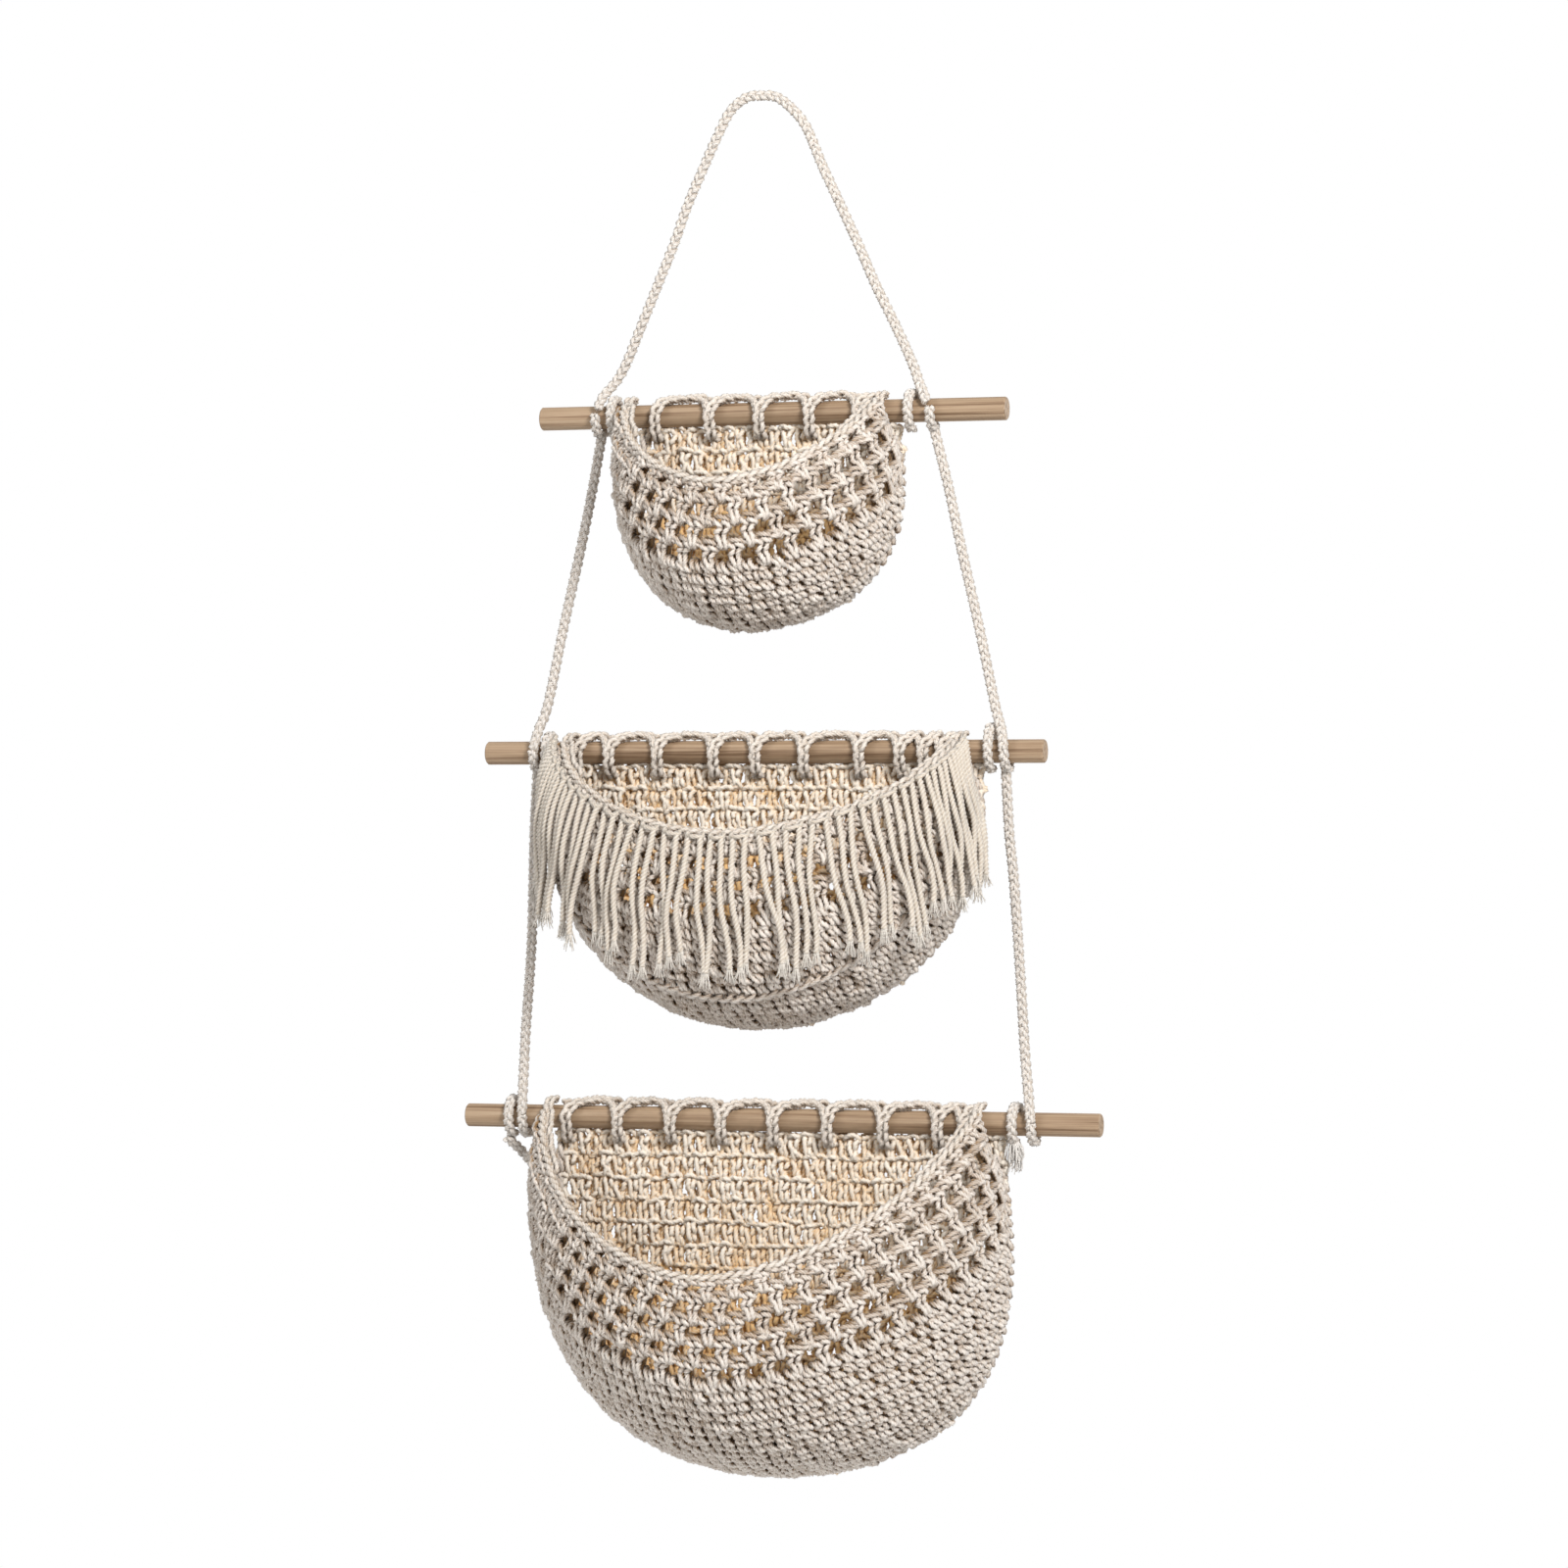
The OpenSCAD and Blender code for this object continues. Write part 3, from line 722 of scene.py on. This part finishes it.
def openwork_row(path, normals, high, offset, centre, seed):
    """The yarns of one openwork row, with plain stitches at both its ends."""
    s = lengths_along(path)
    first, last = whole_stitches(s[centre], cluster_w, offset, plain_left * s[-1],
                                 s[-1] - plain_right)
    ends = [(-past_seam, s[-1] + past_seam)]
    yarns = []
    if last >= first:
        low, up_to = [s[centre] + (n + offset) * cluster_w for n in (first, last + 1)]
        ends = [(-past_seam, low), (up_to, s[-1] + past_seam)]
        yarns.append(work_row(open_stitch, path, normals, cluster_w, high, ragged=0.22,
                              seed=seed, part=(low, up_to)))
    for low, up_to in ends:
        stitch = (up_to - low) / max(round((up_to - low) / (tall_w * MM)), 1)
        yarns.append(work_row(tall_stitch, path, normals, stitch, high, ragged=0.3,
                              seed=seed + 200, part=(low, up_to)))
    return yarns


# %% Fronts
for tier, form in forms.items():
    total = lengths_along(wall_point(form, np.radians(90.0), np.linspace(1, 0, 200)))[-1]
    openwork = [(0.5 + rim_row / 2, rim_row)]
    for k in range(1, open_rows[tier]):
        openwork.append((0.5 + rim_row + (k - 0.5) * open_row, open_row))
    start = 0.5 + rim_row + (open_rows[tier] - 1) * open_row
    count = int(round((total - start) / close_row))
    high = (total - start) / count
    closed = [(start + (k + 0.5) * high, high) for k in range(count)]
    legs, bands = [], []
    for k, (path, normals, centre) in enumerate(
            wall_rows(form, [d for d, _ in openwork], 3.0)):
        legs += openwork_row(path, normals, openwork[k][1] * MM, 0.5 * (k % 2), centre, k)
        if k:
            band = work_row(band_link, path, normals, 7 * MM, 3.8 * MM, 0.25, centre,
                            seed=20 + k, up=6.6 * MM, over=3 * MM)
            # The band counts 0.5 mm lower, for a little more painted shade.
            bands.append(shade_height_raised(band, -0.5 * MM))
    rows = [work_row(close_stitch, path, normals, 6.9 * MM, high * MM, 0.0, centre, ragged=0.3,
                     seed=60 + k, over=3 * MM)
            for k, (path, normals, centre) in enumerate(
                wall_rows(form, [d for d, _ in closed], 1.0))]
    for part, yarns, radius in (("legs", legs, 1.5), ("bands", bands, 1.45),
                                ("rows", rows, 1.55)):
        for n, some in enumerate(bundles(yarns), 1):
            yarn_piece(f"{tier}_pocket_{part}_{n}", spin(some, radius * MM),
                       f"{tier}_basket", [f"{tier}_pocket"], crochet_cotton)

# %% [markdown]
# ## The rims and seams
#
# A row of slip stitches finishes each rim, and another closes the seam between front and
# back. Seen from the room each is a rope of slanting loops, so one yarn that slants over the
# edge again and again shows it with the fewest faces.

# %% Rims and seams: the share of the wall, a link's width and height, and the yarn's radius
for tier, form in forms.items():
    for part, share, width, high, radius, facing, node, cloth in (
            ("rim", 1, 5.6, 2.2, 1.55, (0.0, -1.0, 0.25), "rim_braid", chain_cotton),
            ("seam", 0, 6.0, 3.0, 1.65, (0.0, -1.0, -0.3), "pocket", crochet_cotton)):
        edge = wall_point(form, half_turn, share * np.ones_like(half_turn))
        out = unit((edge - [0, 0, form.z]) * [0.6, 1, 1])
        path = smooth_path((edge - out * wall_t / 2)[::3] * MM, 3)
        # Rims and seams count 0.5 mm higher, so they take less painted shade.
        yarn = shade_height_raised(work_row(rope_link, path, facing, width * MM, high * MM), 0.5 * MM)
        yarn_piece(f"{tier}_{part}_chain", spin([yarn], radius * MM),
                   f"{tier}_basket", [f"{tier}_{node}"], cloth)

# %% [markdown]
# The middle pocket turns under along a raised line, where a chain was worked over the rows.
# It lies at a fixed share of the wall, so the same formula gives its path.

# %% Turning line
turning_share = 0.42
angles = np.radians(np.linspace(24, 156, 265))
line = wall_point(forms["middle"], angles, turning_share * np.ones_like(angles))
out = unit((line - [0, 0, middle_z]) * [0.5, 1, 1])
path = smooth_path((line + 0.4 * out)[::3] * MM, 3)
# The turning chain counts 0.6 mm higher, for less painted shade.
yarn = shade_height_raised(work_row(rope_link, path, out[len(out) // 2], 5.8 * MM, 2.4 * MM), 0.6 * MM)
yarn_piece("middle_pocket_turning_chain", spin([yarn], 1.5 * MM),
           "middle_basket", ["middle_pocket"], crochet_cotton)

# %% [markdown]
# Each rim's end goes over its dowel side by side with a second chain, which comes back down
# inside the rim to the panel's corner. Its path is a few points round the dowel and then a
# few of the rim's own, set in by a chain's width.

# %% Rims' ends
for tier, form in forms.items():
    yarns = []
    for side in (-1, 1):
        x = form.rim_c + side * form.rim_half
        inside = -side * 4.6
        above = [round_dowel(form.z, x + 0.5 * inside, a, hug_r - wall_t / 2)
                 for a in (-30, 0, 25, 50, 75)]
        angle = np.radians([6, 14, 22, 30] if side < 0 else [174, 166, 158, 150])
        down = wall_point(form, angle, np.ones(4)) + np.array([inside, 2.2, 0])
        path = smooth_path(np.vstack([above, down]) * MM, 8)
        # The rim's ends count 1 mm higher, for less painted shade.
        yarns.append(shade_height_raised(work_row(chain_link, path, np.array([0.0, -1.0, 0.3]), 5.0 * MM,
                                     3.6 * MM), MM))
    yarn_piece(f"{tier}_rim_ends", spin(yarns, 1.4 * MM), f"{tier}_basket",
               [f"{tier}_rim_braid"], chain_cotton)

# %% [markdown]
# ## The back panels
#
# The backs are flat and worked in plain rows of tall stitches, with a loose strand behind
# them that shows in the gaps. A bumped sheet would be lighter, but this is the cloth that one
# looks at through the pocket's mouth, so it is yarn too. The rows that lie behind a pocket's
# front lie in its shade, so their yarn counts as lower and takes more of the painted shade, a
# warm ochre for light that has bounced between the cotton walls.

# %% Backs: their middle's thickness, a row's height and how much painted shade the rows behind a front get
panel_t, tall_row, front_shade = 3.6, 11.2, 2.3


def shaded_deeper(yarn, height, depth, left, right):
    """The yarn's front counted lower by depth, for more painted shade, but at its row's ends as
    high as an edge is.
    """
    x = yarn.path[:, 0] / MM
    inside = np.clip(np.minimum(x - left, right - x) / 6 - 0.5, 0, 1)
    edge = np.maximum(yarn.height, 1.4 * MM)
    return yarn._replace(height=edge + (height - depth - edge) * inside,
                         back=edge + (yarn.back - edge) * inside)


for tier, form in forms.items():
    seam = wall_point(form, half_turn, np.zeros_like(half_turn))
    half = len(seam) // 2
    top = form.z - dowel_r - 0.8
    low = seam[:, 2].min() + 2.0
    count = int(round((top - low) / tall_row))
    height = (top - low) / count
    yarns, fillings = [], []
    for k in range(count):
        z = top - (k + 0.5) * height
        ends = [z + 0.2 * height, z - 0.4 * height]
        spare = 1.5 if k < 2 else -1.5
        left = max(np.interp([-e for e in ends], -seam[:half, 2], seam[:half, 0])) - spare
        right = min(np.interp([-e for e in ends], -seam[half:, 2][::-1],
                              seam[half:, 0][::-1])) + spare
        path = np.array([[x, panel_t / 2, z] for x in np.linspace(left, right, 80)]) * MM
        if right - left > 20:
            stitch = (right - left) / round((right - left) / tall_w)
            # How far down the row lies behind the front, and the painted shade for that.
            behind = float(np.clip((form.z - form.drop - 4 - z) / 8, 0, 1))
            depth = front_shade * MM * behind
            yarn = work_row(tall_stitch, path, (0, -1, 0), stitch * MM, height * MM,
                            centre=0.0, ragged=0.42, seed=40 + k)
            yarns.append(shaded_deeper(yarn, yarn.height, depth, left, right))
            yarn = work_row(filling, path, (0, -1, 0), 2 * stitch * MM, height * MM,
                            centre=0.0, ragged=0.5, seed=70 + k)
            # The loose strand behind counts only 0.2 mm high, so it gets much of the painted
            # shade.
            fillings.append(shaded_deeper(yarn, 0.2 * MM, depth, left, right))
    for n, some in enumerate(bundles(yarns), 1):
        yarn_piece(f"{tier}_back_rows_{n}", spin(some, 1.6 * MM),
                   f"{tier}_basket", [f"{tier}_back_panel"], panel_cotton)
    for n, some in enumerate(bundles(fillings), 1):
        yarn_piece(f"{tier}_back_filling_{n}", spin(some, 1.6 * MM, step=0.0012, plies=3),
                   f"{tier}_basket", [f"{tier}_back_panel"], panel_cotton)

# %% [markdown]
# ## The lacing
#
# A chain goes down behind the dowel, through the panel's top edge, up the front and along
# the top to the next post. A thinner strand comes down from each crest to the next post,
# so that each post ends in a V. Rings and arcs would be quicker to make, but the real lacing
# is one length, and one route shows how it runs.

# %% Lacing: the distance of its middle from the dowel's, and the posts' places in mm
lacing_r = dowel_r + 2.3
posts = {
    "top": (-55.5, -26, 0.5, 27.5, 53.5),
    "middle": (-98, -80.5, -54.5, -24, -1.5, 24.5, 54, 75.5, 88, 97.5),
    "bottom": (-104, -76, -47.5, -20, 8, 37, 66.5, 95.5, 109)}


def post_loop(x, z):
    """Down behind the dowel at x, under the panel's top edge and up in front of it."""
    down = [round_dowel(z, x - 4 + k, -35 - 28 * k, lacing_r) for k in range(4)]
    under = [(x, 4.4, z - 10.6), (x, -4.4, z - 10.6)]
    up = [round_dowel(z, x, 115, lacing_r), round_dowel(z, x + 0.5, 82, lacing_r),
          round_dowel(z, x + 2.5, 54, lacing_r), round_dowel(z, x + 5.5, 28, lacing_r)]
    return down + under + up


for tier, places in posts.items():
    z = forms[tier].z
    route, strands = [(places[0] - 6, 2, z + 8.2)], []
    for i, x in enumerate(places):
        route += post_loop(x, z)
        gap = places[i + 1] - x if i < len(places) - 1 else 12
        crest = (x + gap - min(9.5, 0.45 * gap), -0.5, z + 8.7)
        if i < len(places) - 1:
            if gap > 20:
                route.append((x + 0.45 * gap, -2.0, z + 8.2))
            route.append(crest)
            to = places[i + 1]
            thin = [crest, round_dowel(z, to - 4.6, 26, lacing_r - 0.6),
                    round_dowel(z, to - 2.6, 55, lacing_r - 0.2),
                    round_dowel(z, to - 1.2, 88, lacing_r - 0.2),
                    round_dowel(z, to - 0.8, 112, lacing_r - 0.2)]
            strands.append(smooth_path(np.array(thin) * MM, 6))
    route.append((places[-1] + 6.5, 3, z + 8.2))
    path = smooth_path(np.array(route) * MM, 5)
    outwards = unit((path - np.array([0, 0, z]) * MM) * [0.0, 1, 1] + [0, 0, 1e-6])
    # The lacing counts 1.3 mm higher and its thin strands 1.5 mm, for less painted shade; where
    # a thin strand turns under it is darker.
    yarns = [shade_height_raised(work_row(chain_link, path, outwards, 5.0 * MM, 4.4 * MM), 1.3 * MM)]
    for strand in strands:
        outwards = unit((strand - np.array([0, 0, z]) * MM) * [0.0, 1, 1])
        place, out, length = along(strand, outwards)
        u = np.linspace(0, length, 40)
        for side in (0, np.pi):
            turn = 2 * np.pi * u / (6 * MM) + side
            w = 0.8 * MM * np.cos(turn)
            yarns.append(Yarn(place(u, 0.8 * MM * np.sin(turn), w), 1.5 * MM + w, out(u),
                              1.5 * MM - w))
    yarn_piece(f"{tier}_lacing_chain", spin(yarns, 1.48 * MM),
               f"{tier}_basket", [f"{tier}_lacing"], chain_cotton)

# %% [markdown]
# ## The fringe
#
# Lengths of yarn are knotted along the middle rim and hang down over the pocket. A hair
# system could comb them, but each strand here is thick enough to be seen by itself, so each
# is a yarn that falls from its own place on the rim down the pocket's front. Neighbours lean
# together in clumps, and every strand's end is brushed out into a few fine hairs.

# %% Where the strands start
strands, fringe_length, strand_d = 58, 70.0, 3.7
middle_form = forms["middle"]


def offset_wall(form, angle, s, inset):
    """The CAD source's own point at an inset from the outer face."""
    p = wall_point(form, angle, s)
    z = form.z
    middle_x = mix(form.c_end, form.c, np.sqrt(np.clip(np.sin(angle), 0, 1)))
    r = np.hypot(p[..., 1], p[..., 2] - z)
    share = (r - inset * wall_t) / r
    x = middle_x + (p[..., 0] - middle_x) * (1 - inset * wall_t / form.half)
    return np.stack([x, p[..., 1] * share, z + (p[..., 2] - z) * share], -1)


rng = np.random.default_rng(11)
tops, columns = [], []
for k in range(strands):
    t = 2 * (0.05 + 0.9 * (k + 0.5) / strands) - 1
    angle = math.radians(90 + 90 * math.copysign(1 - (1 - abs(t)) ** 1.4, t))
    tops.append(offset_wall(middle_form, angle, 1.0, -0.6))
    columns.append(offset_wall(middle_form, np.full(60, angle), np.linspace(1, 0, 60), -0.9))
print("the fringe is knotted over", round(tops[-1][0] - tops[0][0]), "mm of the rim")

# %% Strands that lean together, and their brushed ends
clumps, k = [], 0
while k < strands:
    size = int(rng.choice([2, 2, 3, 4, 5]))
    clumps.append(list(range(k, min(k + size, strands))))
    k += size
lean = np.zeros(strands)
for clump in clumps:
    middle = np.mean([tops[k][0] for k in clump])
    for k in clump:
        lean[k] = 0.42 * (middle - tops[k][0]) + 0.9 * rng.standard_normal()
hanging, brushed = [], []
for k in range(strands):
    rim, column = tops[k], columns[k]
    long = fringe_length * (1 + 0.05 * rng.standard_normal())
    wave = rng.uniform(0, 2 * np.pi)
    points = []
    for f in (0, 0.08, 0.2, 0.35, 0.5, 0.65, 0.8, 0.92):
        height = rim[2] - f * long
        at = np.interp(-height, -column[:, 2], np.arange(60))
        low = min(int(at), 58)
        p = mix(column[low], column[low + 1], at - low)
        side = lean[k] * min(1.6 * f, 1.0) + 1.5 * min(2 * f, 1) * math.sin(wave + 6.5 * f)
        points.append((p[0] + side, min(p[1], rim[1]) - 0.6 * abs(math.cos(wave)) * f, height))
    hanging.append(plain_yarn(smooth_path(np.array(points) * MM, 6)))
    end = np.array(points[-1])
    for turn in np.linspace(0, 2 * np.pi, 10)[:-1]:
        fan = np.array([math.cos(turn + wave), 0.5 * math.sin(turn + wave), 0.0])
        long = rng.uniform(5.5, 8.5)
        hair = [end + 0.8 * fan + (0, 0, 1.5), end + 1.2 * fan - (0, 0, 1.0),
                end + rng.uniform(1.3, 2.3) * fan - (0, 0, 0.5 * long),
                end + rng.uniform(1.8, 3.8) * fan - (0, 0, long)]
        # The brushed hairs count 2.2 mm high, so they take little of the painted shade.
        brushed.append(plain_yarn(smooth_path(np.array(hair) * MM, 4), 2.2 * MM))
spun = spin(hanging, strand_d / 2 * MM, plies=3, lay=0.0064, depth=0.4)
yarn_piece("fringe_strands", spun, "middle_basket", ["fringe"], fringe_cotton)
spun = spin(brushed, 0.62 * MM, plies=3, lay=0.006, taper=lambda n: np.linspace(1, 0.35, n))
yarn_piece("fringe_brushed_ends", spun, "middle_basket", ["fringe"],
           fringe_cotton)

# %% [markdown]
# Each pair of strands is one length folded in half: its fold goes round the rim, and the two
# ends are pulled through it. Seen from the room that is a short bar with a bump on each side.
# The knot's inside is never seen, so only this bar is made.

# %% Knots of the fringe
knots = []
for k in range(0, strands, 2):
    left, right = tops[k], tops[k + 1]
    across = unit(right - left)
    out = np.array([0.0, -1.0, 0.0])
    back_up = np.array([0, 0, 2.2])
    middle = (left + right) / 2 + (0, 0, 0.6)
    half = 0.5 * np.linalg.norm(right - left) + 0.9
    bar = [middle - half * across + back_up - 1.0 * out,
           middle - half * across + 0.4 * out, middle - 0.5 * half * across + 2.0 * out,
           middle + 2.4 * out - (0, 0, 0.3), middle + 0.5 * half * across + 2.0 * out,
           middle + half * across + 0.4 * out, middle + half * across + back_up - 1.0 * out]
    knots.append(plain_yarn(smooth_path(np.array(bar) * MM, 6)))
yarn_piece("fringe_knots", spin(knots, 1.4 * MM, depth=0.36), "middle_basket", ["fringe"],
           fringe_cotton)

# %% [markdown]
# ## Floor, backdrop and light
#
# The photograph is cut out on white. A painted wall would go grey towards its edges, so the
# world itself is white where it is seen, and only a floor catches the shadow. Two large soft
# lamps stand to the right and left in front of the object. A third behind it lights its back.

# %% Floor
stage_white, _, _, shader = new_material("stage_white", 0.9)
shader.inputs["Base Color"].default_value = (0.9, 0.9, 0.9, 1)
floor_z = -1.15
mesh = bpy.data.meshes.new("floor")
mesh.from_pydata([(-4, -4, floor_z), (4, -4, floor_z), (4, 1.6, floor_z), (-4, 1.6, floor_z)],
                 [], [(0, 1, 2, 3)])
mesh.materials.append(stage_white)
floor = bpy.data.objects.new("floor", mesh)
bpy.context.scene.collection.objects.link(floor)
print("floor is", -floor_z, "m below the nail")

# %% World: white where it is seen, and a soft even light on the object
world = bpy.data.worlds.new("studio")
bpy.context.scene.world = world
world.use_nodes = True
nodes, links = world.node_tree.nodes, world.node_tree.links
background = nodes["Background"]
background.inputs["Color"].default_value = (1, 1, 1, 1)
background.inputs["Strength"].default_value = 0.32
seen = nodes.new("ShaderNodeBackground")
seen.inputs["Color"].default_value = (1, 1, 1, 1)
seen.inputs["Strength"].default_value = 1.0
ray = nodes.new("ShaderNodeLightPath")
choose = nodes.new("ShaderNodeMixShader")
shown = ray.outputs["Is Camera Ray"]
for kind in ("Is Glossy Ray", "Is Transmission Ray"):
    either = nodes.new("ShaderNodeMath")
    either.operation = "MAXIMUM"
    links.new(shown, either.inputs[0])
    links.new(ray.outputs[kind], either.inputs[1])
    shown = either.outputs["Value"]
links.new(shown, choose.inputs["Fac"])
links.new(background.outputs["Background"], choose.inputs[1])
links.new(seen.outputs["Background"], choose.inputs[2])
links.new(choose.outputs["Shader"], nodes["World Output"].inputs["Surface"])
print("world's light is", round(background.inputs["Strength"].default_value, 2))

# %% Lamps: place, size in m and power in W
lit = Vector((0, 0, -0.4))
for name, place, size, power in (("key", (1.45, -1.75, 0.75), 0.6, 56),
                                 ("fill", (-1.5, -1.7, 0.9), 0.9, 18),
                                 ("behind", (0.5, 2.2, 0.5), 1.2, 14)):
    data = bpy.data.lights.new(name, "AREA")
    data.shape = "SQUARE"
    data.size = size
    data.energy = power
    light = bpy.data.objects.new(name, data)
    light.location = place
    light.rotation_euler = (lit - Vector(place)).to_track_quat("-Z", "Y").to_euler()
    bpy.context.scene.collection.objects.link(light)
    print(name, "lamp is", power, "W")

bpy.context.scene.view_settings.view_transform = "Standard"
